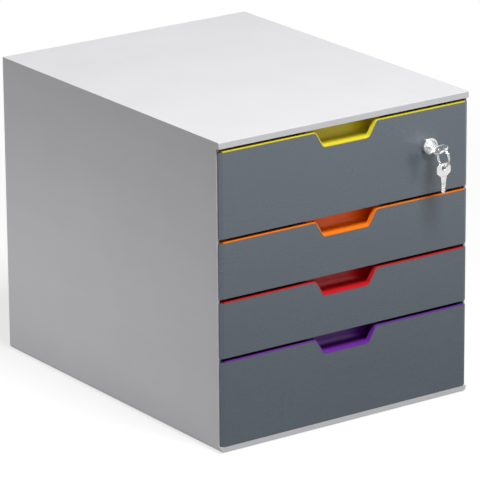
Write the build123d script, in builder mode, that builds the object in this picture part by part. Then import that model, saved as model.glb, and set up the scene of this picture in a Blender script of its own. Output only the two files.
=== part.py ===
from build123d import *
from math import cos, radians, sin, sqrt, tan
import os

# Desktop file drawer: one moulded casing, four pull-out trays, a cam lock in the top tray.
# Millimetres. X to the right, Y to the back, Z up. The origin is under the middle of the casing,
# on the surface that it stands on.

# ---------------------------------------------------------------- casing
CASE_WIDTH = 280
CASE_DEPTH = 356
MODULE = 28  # pitch of the runners, and the unit of the drawers' heights
MODULE_COUNTS = (3, 2, 2, 3)  # heights of the drawers, from the top, in modules
BAND = 6  # from the table to the first drawer, and from the last one to the top
WALL = 2.5  # side walls and back panel
SLAB = 3  # top and bottom walls
LIP_DEPTH = 3.4  # front lips of the top and bottom walls, front to back
TOP_CORNER = 2  # the casing's long upper edges
BASE_CORNER = 3.5  # its long lower edges
END_ROUND = 0.75  # the outer edges of its front and back ends

# ---------------------------------------------------------------- runners
RIB_THICKNESS = 2
LOWER_RIB_REACH = 3.7  # from the side wall inwards
UPPER_RIB_REACH = 1.9
RUN_GAP = 0.3  # between a tray's flange and the ribs above and below it
FLANGE_THICKNESS = 2
FLANGE_SIDE_GAP = 0.6  # between the flange's edge and the side wall
BODY_SIDE_GAP = 0.8  # between a tray's side and the lower ribs
TRAVEL = 250  # how far a drawer opens
RIB_SET_BACK = 2.2  # from the ribs' ends to the side walls' front edges and to the back panel
STOP_LENGTH = 4
STOP_GAP = 0.2  # left between nib and stop when a drawer is fully open
STOP_BITE = 1  # how much a nib and its stop overlap, seen from the front
NIB_WIDTH = 1.6
NIB_HEIGHT = 1.8
NIB_LENGTH = 10

# ---------------------------------------------------------------- front panels
PANEL_SIDE_GAP = 1  # a panel is this much narrower than the casing on each side
PANEL_DEPTH = 3.4  # front to back, at the rim
PANEL_FACE = 2.4  # thickness of the panel's face
PANEL_RIM = 2.2
PANEL_CORNER = 1  # corners, seen from the front
BEVEL_WIDTH = 3.2  # slanted sides of a panel, seen from the front
BEVEL_DEPTH = 1.8
PANEL_FOOT_GAP = 0.3  # over the module's bottom line
SEAT_GAP = 0.4  # between a closed panel and the side walls' front edges
JOIN_GAP = 0.1  # between panel and tray
PEG_RADIUS = 2
PEG_HEAD_RADIUS = 3
PEG_HEAD = 1.2
PEG_INSET = 20  # from a panel's side to its outer pegs
PEG_COUNT = 4
PEG_RISE = 15  # from a drawer's bottom line to its panel's pegs

# ---------------------------------------------------------------- trays
TOP_GAP = 2.8  # from the rim up to the module's top line
LIP = 0.9  # thickness of the coloured lip over the panel's edge
LIP_END_GAP = 0.2  # from the lip's ends to the panel's slanted sides
PLATE = 2.2  # a tray's front wall
TRAY_WALL = 2
TRAY_FLOOR = 2
TRAY_FOOT_GAP = 1  # over the module's bottom line
TRAY_REAR_GAP = 15  # from a tray to the back panel
TRAY_DRAFT = 1  # degrees
CAVITY_CORNER = 7
CAVITY_FLOOR_ROUND = 4
BACK_DIP = 8  # how much lower the back wall is than the rim
BACK_DIP_INSET = 14  # from the tray's side to the dip

# ---------------------------------------------------------------- finger notch and pocket
NOTCH_DEPTH = 17.5  # below the module's top line
NOTCH_HALF = 25  # half the width of its bottom edge
NOTCH_SLANT = 59  # degrees between a side and the bottom edge
NOTCH_ROUND = 4
POCKET_HALF = 41
POCKET_BACK = 16  # from the front plane to the pocket's back wall
POCKET_ROUND = 6
POCKET_WALL = 1.8

# ---------------------------------------------------------------- back panel and feet
BACK_REBATE = 1.5  # how far the back panel stands in the casing's walls
BACK_GAP = 0.15
TONGUE_WIDTH = 12
TONGUE_LENGTH = 8
TONGUE_THICKNESS = 1.6
TONGUE_PITCH = 150
TONGUE_BARB = 0.6
STIFFENER = 3
STIFFENER_DEPTH = 2
STIFFENER_PITCH = 84
STIFFENER_INSET = 12  # from the stiffening ribs' ends to the side walls
FOOT_PROUD = 1
FOOT_THICKNESS = 2.5
FOOT_RADIUS = 8
FOOT_INSET = 22
FOOT_CHAMFER = 0.5
FOOT_GAP = 0.1

# ---------------------------------------------------------------- lock
LOCK_INSET = 46.5  # from the casing's right side to the lock's axis
LOCK_DROP = 37.7  # from the top drawer's top line down to the lock's axis
LOCK_ROLL = 20  # degrees by which the key's bow stands off the level
COLLAR_RADIUS = 8
COLLAR_PROUD = 4.5
COLLAR_ROUND = 1.2
BARREL_RADIUS = 6
BARREL_FLATS = 10.4  # across the barrel's flats
BARREL_LENGTH = 18  # behind the front plane
BARREL_GAP = 0.15
PLUG_RADIUS = 4.45
PLUG_HEAD_RADIUS = 5.2
PLUG_HEAD = 3
PLUG_FIT = 0.05
PLUG_RECESS = 0.3
NUT_FLATS = 16
NUT_THICKNESS = 3.5
NUT_CHAMFER = 0.4
SQUARE = 6  # the plug's square end
SQUARE_FIT = 0.05
CAM_THICKNESS = 2
CAM_HUB = 7
CAM_TIP = 4
CAM_GAP = 0.7  # between the locked cam's tip and the casing's top
WASHER = 0.8
WASHER_RADIUS = 5
SCREW_RADIUS = 1.9
SCREW_LENGTH = 7
SCREW_HEAD = 2.4
SCREW_HEAD_RADIUS = 3.8
SCREW_HEAD_CHAMFER = 0.8
SCREW_FIT = 0.05
SCREW_SLOT = 1
SCREW_SLOT_LENGTH = 4.4
SCREW_SLOT_DEPTH = 1.2
SHEET = 1.2  # the strike's sheet metal
STRIKE_GAP = 0.5  # between the strike's leaf and the cam behind it
STRIKE_HALF = 12
STRIKE_LENGTH = 9
STRIKE_RIM_GAP = 1.6  # between the strike's leaf and the rim that passes under it
GUSSET = 4
STUD_RADIUS = 1.5
STUD_LENGTH = 1.6
STUD_INSET = 3.5  # from the strike's front edge to its studs
STUD_PITCH = 15

# ---------------------------------------------------------------- keys, wafers and split ring
KEY_THICKNESS = 1.6
KEY_FIT = 0.1
BLADE_LENGTH = 9.8
BLADE_WIDTH = 5
BLADE_POINT = 1.6  # width of the blade's blunt tip
BLADE_TAPER = 1.7  # length of the slanted edges at the tip
NECK_LENGTH = 6
NECK_WIDTH = 7
BOW_WIDTH = 16
BOW_LENGTH = 12.5
BOW_TOP = 9  # straight outer edge of the bow
BOW_SHOULDER = 3.5  # length of the slanted corners
BOW_ROUND = 1.5
EYE_RADIUS = 3.6
EYE_STRIP = 2.2  # metal between the eye and the bow's outer edge
CUT_DEPTHS = (0.5, 1.2, 0.8, 1.0)  # bitting, from the neck to the tip
WAFER = 0.8
WAFER_PITCH = 1.6
WAFER_WIDTH = 5
WAFER_GAP = 0.05
FIRST_WAFER = 3.4  # from the plug's face
KEYWAY_SPARE = 1.5  # the keyway is this much deeper than the blade is long
WIRE_RADIUS = 0.46
RING_RADIUS = 8.6  # to the wire's middle
RING_PITCH = 1.36
RING_TURNS = 2
RING_HANG = 1.8  # from the middle of the bow's strip to the inside of the ring
WIRE_SEAT = 1.15  # from the middle of the ring's wire up to the edge of the spare key's eye

# ---------------------------------------------------------------- places worked out from the sizes
FRONT_Y = -CASE_DEPTH / 2
BACK_Y = CASE_DEPTH / 2
GRID_TOP = BAND + sum(MODULE_COUNTS) * MODULE
TOP_Z = GRID_TOP + BAND
CEILING_Z = TOP_Z - SLAB
FLOOR_Z = FOOT_PROUD + SLAB
INNER_X = CASE_WIDTH / 2 - WALL
SIDE_FRONT_Y = FRONT_Y + PANEL_DEPTH + SEAT_GAP
BACK_PANEL_Y = BACK_Y - WALL
PANEL_HALF = CASE_WIDTH / 2 - PANEL_SIDE_GAP
LIP_HALF = PANEL_HALF - BEVEL_WIDTH - LIP_END_GAP
PLATE_Y = FRONT_Y + PANEL_FACE + JOIN_GAP
BODY_Y = PLATE_Y + PLATE
TRAY_BACK_Y = BACK_PANEL_Y - TRAY_REAR_GAP
BODY_HALF = INNER_X - LOWER_RIB_REACH - BODY_SIDE_GAP
FLANGE_HALF = INNER_X - FLANGE_SIDE_GAP
NIB_OUTER_X = INNER_X - UPPER_RIB_REACH - FLANGE_SIDE_GAP
STOP_Y = SIDE_FRONT_Y + RIB_SET_BACK
TIERS = range(1, sum(MODULE_COUNTS) + 1)

LOCK_X = CASE_WIDTH / 2 - LOCK_INSET
LOCK_Z = GRID_TOP - LOCK_DROP
FACE_Y = FRONT_Y - COLLAR_PROUD + PLUG_RECESS
BARREL_END_Y = FRONT_Y + BARREL_LENGTH
CAM_Y = BARREL_END_Y + PLUG_FIT
SQUARE_LENGTH = CAM_THICKNESS + 2 * PLUG_FIT
SQUARE_END_Y = BARREL_END_Y + SQUARE_LENGTH
STRIKE_Y = CAM_Y - STRIKE_GAP
STRIKE_Z = GRID_TOP - TOP_GAP + STRIKE_RIM_GAP
stud_places = [
    (LOCK_X + side * STUD_PITCH / 2, STRIKE_Y - STRIKE_LENGTH + STUD_INSET) for side in (-1, 1)
]
CAM_REACH = CEILING_Z - CAM_GAP - LOCK_Z
EYE_Y = NECK_LENGTH + BOW_LENGTH - EYE_STRIP - EYE_RADIUS  # along a key, from the plug's face
STRIP_Y = FACE_Y - NECK_LENGTH - BOW_LENGTH + EYE_STRIP / 2
RING_Z = LOCK_Z + RING_HANG - RING_RADIUS + WIRE_RADIUS
SPARE_X = LOCK_X + RING_PITCH / 4
SPARE_EYE_Z = RING_Z - RING_RADIUS + WIRE_SEAT - EYE_RADIUS


def place(part, name):
    """Label a finished piece and write it to its own file."""
    part.label = name
    export_step(part, f"parts/{name}.step")


def tier_line(tier):
    """Height of a module line, counted up from the bottom band."""
    return BAND + tier * MODULE


def drawer_lines(number):
    """Bottom and top module lines of a drawer, numbered from the top."""
    top = GRID_TOP - sum(MODULE_COUNTS[: number - 1]) * MODULE
    return top - MODULE_COUNTS[number - 1] * MODULE, top


def box_between(x, y, z, mode=Mode.ADD):
    """A block given by its lowest and highest place along each axis."""
    with Locations(((x[0] + x[1]) / 2, (y[0] + y[1]) / 2, (z[0] + z[1]) / 2)):
        Box(x[1] - x[0], y[1] - y[0], z[1] - z[0], mode=mode)


def upright(y):
    """A sketch plane that faces the front, at a given depth."""
    return Plane.XZ.offset(-y)


def notch_outline(top_line, inset):
    """The notch seen from the front, larger by inset, reaching above the module's top line."""
    bottom = top_line - NOTCH_DEPTH - inset
    half = NOTCH_HALF + inset * tan(radians(NOTCH_SLANT / 2))
    rise = NOTCH_DEPTH + inset + MODULE / 2
    spread = half + rise / tan(radians(NOTCH_SLANT))
    with BuildSketch() as notch:
        with BuildLine():
            FilletPolyline(
                (-spread, bottom + rise),
                (-half, bottom),
                (half, bottom),
                (spread, bottom + rise),
                radius=NOTCH_ROUND + inset,
            )
            Line((spread, bottom + rise), (-spread, bottom + rise))
        make_face()
    return notch.sketch


def front_outline(lines, inset):
    """A drawer's front with its notch, seen from the front; inset lowers the notch and the rim."""
    bottom, top = lines[0] + PANEL_FOOT_GAP, lines[1] - TOP_GAP
    with BuildSketch() as front:
        with Locations((0, (bottom + top) / 2)):
            RectangleRounded(2 * PANEL_HALF, top - bottom, PANEL_CORNER)
        if inset:
            with Locations((0, top)):
                Rectangle(2 * PANEL_HALF, 2 * inset, mode=Mode.SUBTRACT)
        add(notch_outline(lines[1], inset), mode=Mode.SUBTRACT)
        mouth = front.vertices().group_by(Axis.Y)[-1]
        mouth = mouth.filter_by_position(Axis.X, -POCKET_HALF, POCKET_HALF)
        fillet(mouth, NOTCH_ROUND - inset)
    return front.sketch


os.makedirs("parts", exist_ok=True)

# ================================================================ casing
# A sleeve, open at the front and at the back, with runners moulded to its side walls.
with BuildPart() as casing:
    with BuildSketch(upright(FRONT_Y)):
        with Locations((0, (FOOT_PROUD + TOP_Z) / 2)):
            outside = Rectangle(CASE_WIDTH, TOP_Z - FOOT_PROUD)
        fillet(outside.vertices().group_by(Axis.Y)[0], BASE_CORNER)
        fillet(outside.vertices().group_by(Axis.Y)[-1], TOP_CORNER)
    extrude(amount=-CASE_DEPTH)
    fillet(casing.faces().sort_by(Axis.Y)[0].edges(), END_ROUND)
    fillet(casing.faces().sort_by(Axis.Y)[-1].edges(), END_ROUND)
    # the space for the trays, behind the front lips
    box_between(
        (-INNER_X, INNER_X), (FRONT_Y + LIP_DEPTH, BACK_Y), (FLOOR_Z, CEILING_Z), Mode.SUBTRACT
    )
    # the front opening: the panels lie in front of the side walls, between the lips
    box_between(
        (-CASE_WIDTH, CASE_WIDTH), (FRONT_Y, SIDE_FRONT_Y), (BAND, GRID_TOP), Mode.SUBTRACT
    )
    # rebate for the back panel
    box_between(
        (-INNER_X - BACK_REBATE, INNER_X + BACK_REBATE),
        (BACK_PANEL_Y, BACK_Y),
        (FLOOR_Z - BACK_REBATE, CEILING_Z + BACK_REBATE),
        Mode.SUBTRACT,
    )
    # runner ribs: a flange slides between the lower and the upper rib of its tier
    with BuildSketch(upright(STOP_Y)):
        for tier in TIERS:
            rim = tier_line(tier) - TOP_GAP
            for side in (-1, 1):
                with Locations(
                    (
                        side * (INNER_X - LOWER_RIB_REACH / 2),
                        rim - FLANGE_THICKNESS - RUN_GAP - RIB_THICKNESS / 2,
                    )
                ):
                    Rectangle(LOWER_RIB_REACH, RIB_THICKNESS)
                with Locations(
                    (side * (INNER_X - UPPER_RIB_REACH / 2), rim + RUN_GAP + RIB_THICKNESS / 2)
                ):
                    Rectangle(UPPER_RIB_REACH, RIB_THICKNESS)
    extrude(amount=-(BACK_PANEL_Y - RIB_SET_BACK - STOP_Y))
    # stops at the front ends of the upper ribs, which hold the nibs on the flanges
    stop_reach = INNER_X - NIB_OUTER_X + STOP_BITE
    with BuildSketch(upright(STOP_Y)):
        for tier in TIERS:
            for side in (-1, 1):
                with Locations(
                    (
                        side * (INNER_X - stop_reach / 2),
                        tier_line(tier) - TOP_GAP + RUN_GAP + RIB_THICKNESS / 2,
                    )
                ):
                    Rectangle(stop_reach, RIB_THICKNESS)
    extrude(amount=-STOP_LENGTH)
    # blind holes for the studs of the lock's strike, in the top wall
    with Locations(Plane.XY.offset(CEILING_Z)):
        with Locations(*stud_places):
            Cylinder(
                STUD_RADIUS + JOIN_GAP, 2 * (STUD_LENGTH + JOIN_GAP), mode=Mode.SUBTRACT
            )
    # recesses for the feet
    with Locations(Plane.XY.offset(FOOT_PROUD)):
        with GridLocations(CASE_WIDTH - 2 * FOOT_INSET, CASE_DEPTH - 2 * FOOT_INSET, 2, 2):
            Cylinder(
                FOOT_RADIUS + FOOT_GAP,
                FOOT_THICKNESS - FOOT_PROUD,
                align=(Align.CENTER, Align.CENTER, Align.MIN),
                mode=Mode.SUBTRACT,
            )
    # slots for the back panel's barbs, in the top and bottom walls
    for side in (-1, 1):
        for wall_z in (FLOOR_Z, CEILING_Z):
            with Locations(
                (side * TONGUE_PITCH / 2, BACK_PANEL_Y - TONGUE_LENGTH + TONGUE_THICKNESS / 2, wall_z)
            ):
                Box(
                    TONGUE_WIDTH + 2 * BACK_GAP,
                    TONGUE_THICKNESS + 2 * BACK_GAP,
                    2 * (TONGUE_BARB + BACK_GAP),
                    mode=Mode.SUBTRACT,
                )
place(casing.part, "casing")

# ================================================================ back panel
# A plate in the casing's rebate, with four barbed tongues and three stiffening ribs.
back_half = INNER_X + BACK_REBATE - BACK_GAP
back_low = FLOOR_Z - BACK_REBATE + BACK_GAP
back_high = CEILING_Z + BACK_REBATE - BACK_GAP
with BuildPart() as back_panel:
    with BuildSketch(upright(BACK_Y)):
        with Locations((0, (back_low + back_high) / 2)):
            Rectangle(2 * back_half, back_high - back_low)
    extrude(amount=WALL)
    with BuildSketch(upright(BACK_PANEL_Y)):
        with Locations((0, (back_low + back_high) / 2)):
            with GridLocations(0, STIFFENER_PITCH, 1, 3):
                Rectangle(2 * (INNER_X - STIFFENER_INSET), STIFFENER)
    extrude(amount=STIFFENER_DEPTH)
    for side in (-1, 1):
        for wall_z, out in ((FLOOR_Z, 1), (CEILING_Z, -1)):
            root_z = wall_z + out * BACK_GAP
            with BuildSketch(Plane.YZ.offset(side * TONGUE_PITCH / 2)):
                with BuildLine():
                    Polyline(
                        (BACK_PANEL_Y, root_z),
                        (BACK_PANEL_Y - TONGUE_LENGTH + TONGUE_THICKNESS, root_z),
                        (BACK_PANEL_Y - TONGUE_LENGTH + TONGUE_THICKNESS, root_z - out * TONGUE_BARB),
                        (BACK_PANEL_Y - TONGUE_LENGTH, root_z),
                        (BACK_PANEL_Y - TONGUE_LENGTH, root_z + out * TONGUE_THICKNESS),
                        (BACK_PANEL_Y, root_z + out * TONGUE_THICKNESS),
                        close=True,
                    )
                make_face()
            extrude(amount=TONGUE_WIDTH / 2, both=True)
place(back_panel.part, "back_panel")

# ================================================================ strike
# An angle of sheet metal under the top wall, behind whose leaf the lock's cam turns, with two
# gussets between its arms and two studs pressed up into the wall.
with BuildPart() as lock_strike:
    strike_x = (LOCK_X - STRIKE_HALF, LOCK_X + STRIKE_HALF)
    box_between(strike_x, (STRIKE_Y - STRIKE_LENGTH, STRIKE_Y), (CEILING_Z - SHEET, CEILING_Z))
    box_between(strike_x, (STRIKE_Y - SHEET, STRIKE_Y), (STRIKE_Z, CEILING_Z))
    for gusset_x in (strike_x[0], strike_x[1] - SHEET):
        with BuildSketch(Plane.YZ.offset(gusset_x)):
            with BuildLine():
                Polyline(
                    (STRIKE_Y - SHEET, STRIKE_Z),
                    (STRIKE_Y - SHEET - GUSSET, CEILING_Z - SHEET),
                    (STRIKE_Y - SHEET, CEILING_Z - SHEET),
                    close=True,
                )
            make_face()
        extrude(amount=SHEET)
    with Locations(Plane.XY.offset(CEILING_Z)):
        with Locations(*stud_places):
            Cylinder(STUD_RADIUS, STUD_LENGTH, align=(Align.CENTER, Align.CENTER, Align.MIN))
place(lock_strike.part, "lock_strike")

# ================================================================ feet
FOOT_NAMES = ("foot_front_left", "foot_rear_left", "foot_front_right", "foot_rear_right")
foot_places = GridLocations(CASE_WIDTH - 2 * FOOT_INSET, CASE_DEPTH - 2 * FOOT_INSET, 2, 2)
for name, spot in zip(FOOT_NAMES, foot_places):
    with BuildPart() as foot:
        with BuildSketch(Plane.XY):
            with Locations((spot.position.X, spot.position.Y)):
                Circle(FOOT_RADIUS)
        extrude(amount=FOOT_THICKNESS)
        chamfer(foot.edges().group_by(Axis.Z)[0], FOOT_CHAMFER)
    place(foot.part, name)

# ================================================================ drawers
for number in range(1, len(MODULE_COUNTS) + 1):
    lines = drawer_lines(number)
    bottom = lines[0] + TRAY_FOOT_GAP
    rim = lines[1] - TOP_GAP
    pocket_floor = lines[1] - NOTCH_DEPTH
    drawn_in = (rim - bottom) * tan(radians(TRAY_DRAFT))

    # front panel: a face with a rim at its sides, pegged to the tray's front wall
    panel_outline = front_outline(lines, LIP + JOIN_GAP)
    peg_z = lines[0] + PEG_RISE
    peg_pitch = 2 * (PANEL_HALF - PEG_INSET) / (PEG_COUNT - 1)
    with BuildPart() as panel:
        with BuildSketch(upright(FRONT_Y)):
            add(panel_outline)
        extrude(amount=-PANEL_DEPTH)
        box_between(
            (-PANEL_HALF + PANEL_RIM, PANEL_HALF - PANEL_RIM),
            (FRONT_Y + PANEL_FACE, FRONT_Y + PANEL_DEPTH),
            (lines[0], lines[1]),
            Mode.SUBTRACT,
        )
        with BuildSketch(Plane.XY.offset(lines[0])):
            for side in (-1, 1):
                with BuildLine():
                    Polyline(
                        (side * (PANEL_HALF - BEVEL_WIDTH), FRONT_Y),
                        (side * PANEL_HALF, FRONT_Y),
                        (side * PANEL_HALF, FRONT_Y + BEVEL_DEPTH),
                        close=True,
                    )
                make_face()
        extrude(amount=lines[1] - lines[0], mode=Mode.SUBTRACT)
        with BuildSketch(upright(FRONT_Y + PANEL_FACE)):
            with Locations((0, peg_z)):
                with GridLocations(peg_pitch, 0, PEG_COUNT, 1):
                    Circle(PEG_RADIUS)
        extrude(amount=-(PLATE + 2 * JOIN_GAP))
        with BuildSketch(upright(BODY_Y + JOIN_GAP)):
            with Locations((0, peg_z)):
                with GridLocations(peg_pitch, 0, PEG_COUNT, 1):
                    Circle(PEG_HEAD_RADIUS)
        extrude(amount=-PEG_HEAD)
        if number == 1:
            with Locations(upright(FRONT_Y)):
                with Locations((LOCK_X, LOCK_Z)):
                    Hole(BARREL_RADIUS + BARREL_GAP)
    place(panel.part, f"front_panel_{number}")

    # the tray's cavity, drawn in towards the floor, with rounded corners
    with BuildPart() as cavity:
        with BuildSketch(upright(BODY_Y)):
            with BuildLine():
                Polyline(
                    (-BODY_HALF + TRAY_WALL + drawn_in, bottom + TRAY_FLOOR),
                    (BODY_HALF - TRAY_WALL - drawn_in, bottom + TRAY_FLOOR),
                    (BODY_HALF - TRAY_WALL, rim),
                    (-BODY_HALF + TRAY_WALL, rim),
                    close=True,
                )
            make_face()
        extrude(amount=-(TRAY_BACK_Y - TRAY_WALL - BODY_Y))
        corners = cavity.edges().filter_by(GeomType.LINE).filter_by(
            lambda edge: abs(edge.tangent_at(0.5).Z) > 0.9
        )
        fillet(corners, CAVITY_CORNER)
        fillet(cavity.faces().sort_by(Axis.Z)[0].edges(), CAVITY_FLOOR_ROUND)

    # tray: floor and walls, side flanges, front wall with a lip and a finger pocket, stop nibs
    with BuildPart() as tray:
        with BuildSketch(upright(BODY_Y)):
            with BuildLine():
                Polyline(
                    (-BODY_HALF + drawn_in, bottom),
                    (BODY_HALF - drawn_in, bottom),
                    (BODY_HALF, rim),
                    (-BODY_HALF, rim),
                    close=True,
                )
            make_face()
        extrude(amount=-(TRAY_BACK_Y - BODY_Y))
        add(cavity.part, mode=Mode.SUBTRACT)
        for side in (-1, 1):
            flange_x = sorted((side * (BODY_HALF - TRAY_WALL / 2), side * FLANGE_HALF))
            box_between(flange_x, (BODY_Y, TRAY_BACK_Y), (rim - FLANGE_THICKNESS, rim))
            nib_y = STOP_Y + STOP_LENGTH + TRAVEL + STOP_GAP
            nib_x = sorted((side * (NIB_OUTER_X - NIB_WIDTH), side * NIB_OUTER_X))
            with BuildSketch(Plane.YZ.offset(nib_x[0])):
                with BuildLine():
                    Polyline(
                        (nib_y, rim - FLANGE_THICKNESS / 2),
                        (nib_y, rim + NIB_HEIGHT),
                        (nib_y + NIB_LENGTH / 4, rim + NIB_HEIGHT),
                        (nib_y + NIB_LENGTH, rim - FLANGE_THICKNESS / 2),
                        close=True,
                    )
                make_face()
            extrude(amount=NIB_WIDTH)
        # lower back wall
        with BuildSketch(upright(TRAY_BACK_Y - TRAY_WALL)):
            with Locations((0, rim)):
                RectangleRounded(
                    2 * (BODY_HALF - BACK_DIP_INSET), 2 * BACK_DIP, BACK_DIP / 2
                )
        extrude(amount=-2 * TRAY_WALL, mode=Mode.SUBTRACT)
        # front wall, and the lip that laps over the panel's top edge and notch
        plate_half = PANEL_HALF - PANEL_RIM - JOIN_GAP
        box_between((-plate_half, plate_half), (PLATE_Y, BODY_Y), (bottom, rim))
        with BuildSketch(upright(FRONT_Y)):
            add(front_outline(lines, 0))
            add(front_outline(lines, LIP), mode=Mode.SUBTRACT)
            with Locations((0, rim)):
                Rectangle(2 * LIP_HALF, 2 * MODULE, mode=Mode.INTERSECT)
        extrude(amount=-(PLATE_Y - FRONT_Y))
        # finger pocket: a block inside the front wall, hollowed out
        box_between(
            (-POCKET_HALF - POCKET_WALL, POCKET_HALF + POCKET_WALL),
            (BODY_Y, FRONT_Y + POCKET_BACK + POCKET_WALL),
            (pocket_floor - POCKET_WALL, rim),
        )
        with BuildSketch(Plane.YZ.offset(-POCKET_HALF)):
            with BuildLine():
                FilletPolyline(
                    (BODY_Y, pocket_floor),
                    (FRONT_Y + POCKET_BACK, pocket_floor),
                    (FRONT_Y + POCKET_BACK, lines[1]),
                    radius=POCKET_ROUND,
                )
                Polyline((FRONT_Y + POCKET_BACK, lines[1]), (BODY_Y, lines[1]), (BODY_Y, pocket_floor))
            make_face()
        extrude(amount=2 * POCKET_HALF, mode=Mode.SUBTRACT)
        # the notch through the front wall
        with BuildSketch(upright(PLATE_Y)):
            add(notch_outline(lines[1], 0))
        extrude(amount=-PLATE, mode=Mode.SUBTRACT)
        with Locations(upright(PLATE_Y)):
            with Locations((0, peg_z)):
                with GridLocations(peg_pitch, 0, PEG_COUNT, 1):
                    Hole(PEG_RADIUS + JOIN_GAP, depth=PLATE)
            if number == 1:
                with Locations((LOCK_X, LOCK_Z)):
                    Hole(BARREL_RADIUS + BARREL_GAP, depth=PLATE)
    place(tray.part, f"tray_{number}")

# ================================================================ lock housing and nut
# A round collar with a flatted barrel, bored for the plug and for the plug's wider head.
with BuildPart() as lock_housing:
    with BuildSketch(upright(FRONT_Y - COLLAR_PROUD)):
        with Locations((LOCK_X, LOCK_Z)):
            Circle(COLLAR_RADIUS)
    extrude(amount=-COLLAR_PROUD)
    fillet(lock_housing.edges().group_by(Axis.Y)[0], COLLAR_ROUND)
    with BuildSketch(upright(FRONT_Y)):
        with Locations((LOCK_X, LOCK_Z)):
            Circle(BARREL_RADIUS)
            Rectangle(BARREL_FLATS, 2 * BARREL_RADIUS, mode=Mode.INTERSECT)
    extrude(amount=-BARREL_LENGTH)
    with Locations(upright(FRONT_Y - COLLAR_PROUD)):
        with Locations((LOCK_X, LOCK_Z)):
            CounterBoreHole(
                PLUG_RADIUS + PLUG_FIT,
                PLUG_HEAD_RADIUS + PLUG_FIT,
                PLUG_RECESS + PLUG_HEAD + PLUG_FIT,
            )
place(lock_housing.part, "lock_housing")

with BuildPart() as lock_nut:
    with BuildSketch(upright(BODY_Y)):
        with Locations((LOCK_X, LOCK_Z)):
            RegularPolygon(NUT_FLATS / 2, 6, major_radius=False)
            Circle(BARREL_RADIUS + PLUG_FIT, mode=Mode.SUBTRACT)
    extrude(amount=-NUT_THICKNESS)
    chamfer(lock_nut.edges().filter_by(GeomType.LINE).group_by(Axis.Y)[-1], NUT_CHAMFER)
place(lock_nut.part, "lock_nut")

# ================================================================ plug and what turns with it
# Sketches of the plug and keys lie across the plug's axis, turned by LOCK_ROLL like the key.


def across_lock(y):
    """A plane across the lock's axis at a given depth, with its x along the key's width."""
    lean = radians(LOCK_ROLL)
    return Plane(origin=(LOCK_X, y, LOCK_Z), x_dir=(cos(lean), 0, sin(lean)), z_dir=(0, -1, 0))


wafer_places = [FACE_Y + FIRST_WAFER + k * WAFER_PITCH for k in range(len(CUT_DEPTHS))]
with BuildPart() as lock_plug:
    with BuildSketch(across_lock(FACE_Y)):
        Circle(PLUG_HEAD_RADIUS)
    extrude(amount=-PLUG_HEAD)
    chamfer(lock_plug.edges().group_by(Axis.Y)[0], PLUG_RECESS)
    with BuildSketch(across_lock(FACE_Y + PLUG_HEAD)):
        Circle(PLUG_RADIUS)
    extrude(amount=-(BARREL_END_Y - FACE_Y - PLUG_HEAD))
    with BuildSketch(upright(BARREL_END_Y)):
        with Locations((LOCK_X, LOCK_Z)):
            Rectangle(SQUARE, SQUARE)
    extrude(amount=-SQUARE_LENGTH)
    # keyway
    with BuildSketch(across_lock(FACE_Y)):
        Rectangle(BLADE_WIDTH + 2 * KEY_FIT, KEY_THICKNESS + 2 * KEY_FIT)
    extrude(amount=-(BLADE_LENGTH + KEYWAY_SPARE), mode=Mode.SUBTRACT)
    # a slot across the plug for each wafer
    for wafer_y in wafer_places:
        with BuildSketch(across_lock(wafer_y - WAFER_GAP)):
            Rectangle(4 * PLUG_RADIUS, WAFER_WIDTH + 2 * WAFER_GAP)
        extrude(amount=-(WAFER + 2 * WAFER_GAP), mode=Mode.SUBTRACT)
    # hole for the cam's screw
    with Locations(upright(SQUARE_END_Y)):
        with Locations((LOCK_X, LOCK_Z)):
            Cylinder(SCREW_RADIUS + SCREW_FIT, 2 * SCREW_LENGTH, mode=Mode.SUBTRACT)
place(lock_plug.part, "lock_plug")

with BuildPart() as lock_wafers:
    for wafer_y in wafer_places:
        with BuildSketch(across_lock(wafer_y)):
            Circle(PLUG_RADIUS - WAFER_GAP)
            Rectangle(2 * PLUG_RADIUS, WAFER_WIDTH, mode=Mode.INTERSECT)
            Rectangle(BLADE_WIDTH + 4 * KEY_FIT, KEY_THICKNESS + 4 * KEY_FIT, mode=Mode.SUBTRACT)
        extrude(amount=-WAFER)
place(lock_wafers.part, "lock_wafers")

# The cam lies level while the lock is open, and stands up behind the catch when it is locked.
with BuildPart() as lock_cam:
    with BuildSketch(upright(CAM_Y)):
        with Locations((LOCK_X, LOCK_Z)):
            Circle(CAM_HUB)
        with Locations((LOCK_X - CAM_REACH + CAM_TIP, LOCK_Z)):
            Circle(CAM_TIP)
        make_hull()
        with Locations((LOCK_X, LOCK_Z)):
            Rectangle(SQUARE + 2 * SQUARE_FIT, SQUARE + 2 * SQUARE_FIT, mode=Mode.SUBTRACT)
    extrude(amount=-CAM_THICKNESS)
place(lock_cam.part, "lock_cam")

with BuildPart() as cam_washer:
    with BuildSketch(upright(SQUARE_END_Y)):
        with Locations((LOCK_X, LOCK_Z)):
            Circle(WASHER_RADIUS)
            Circle(SCREW_RADIUS + SCREW_FIT, mode=Mode.SUBTRACT)
    extrude(amount=-WASHER)
place(cam_washer.part, "cam_washer")

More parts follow.
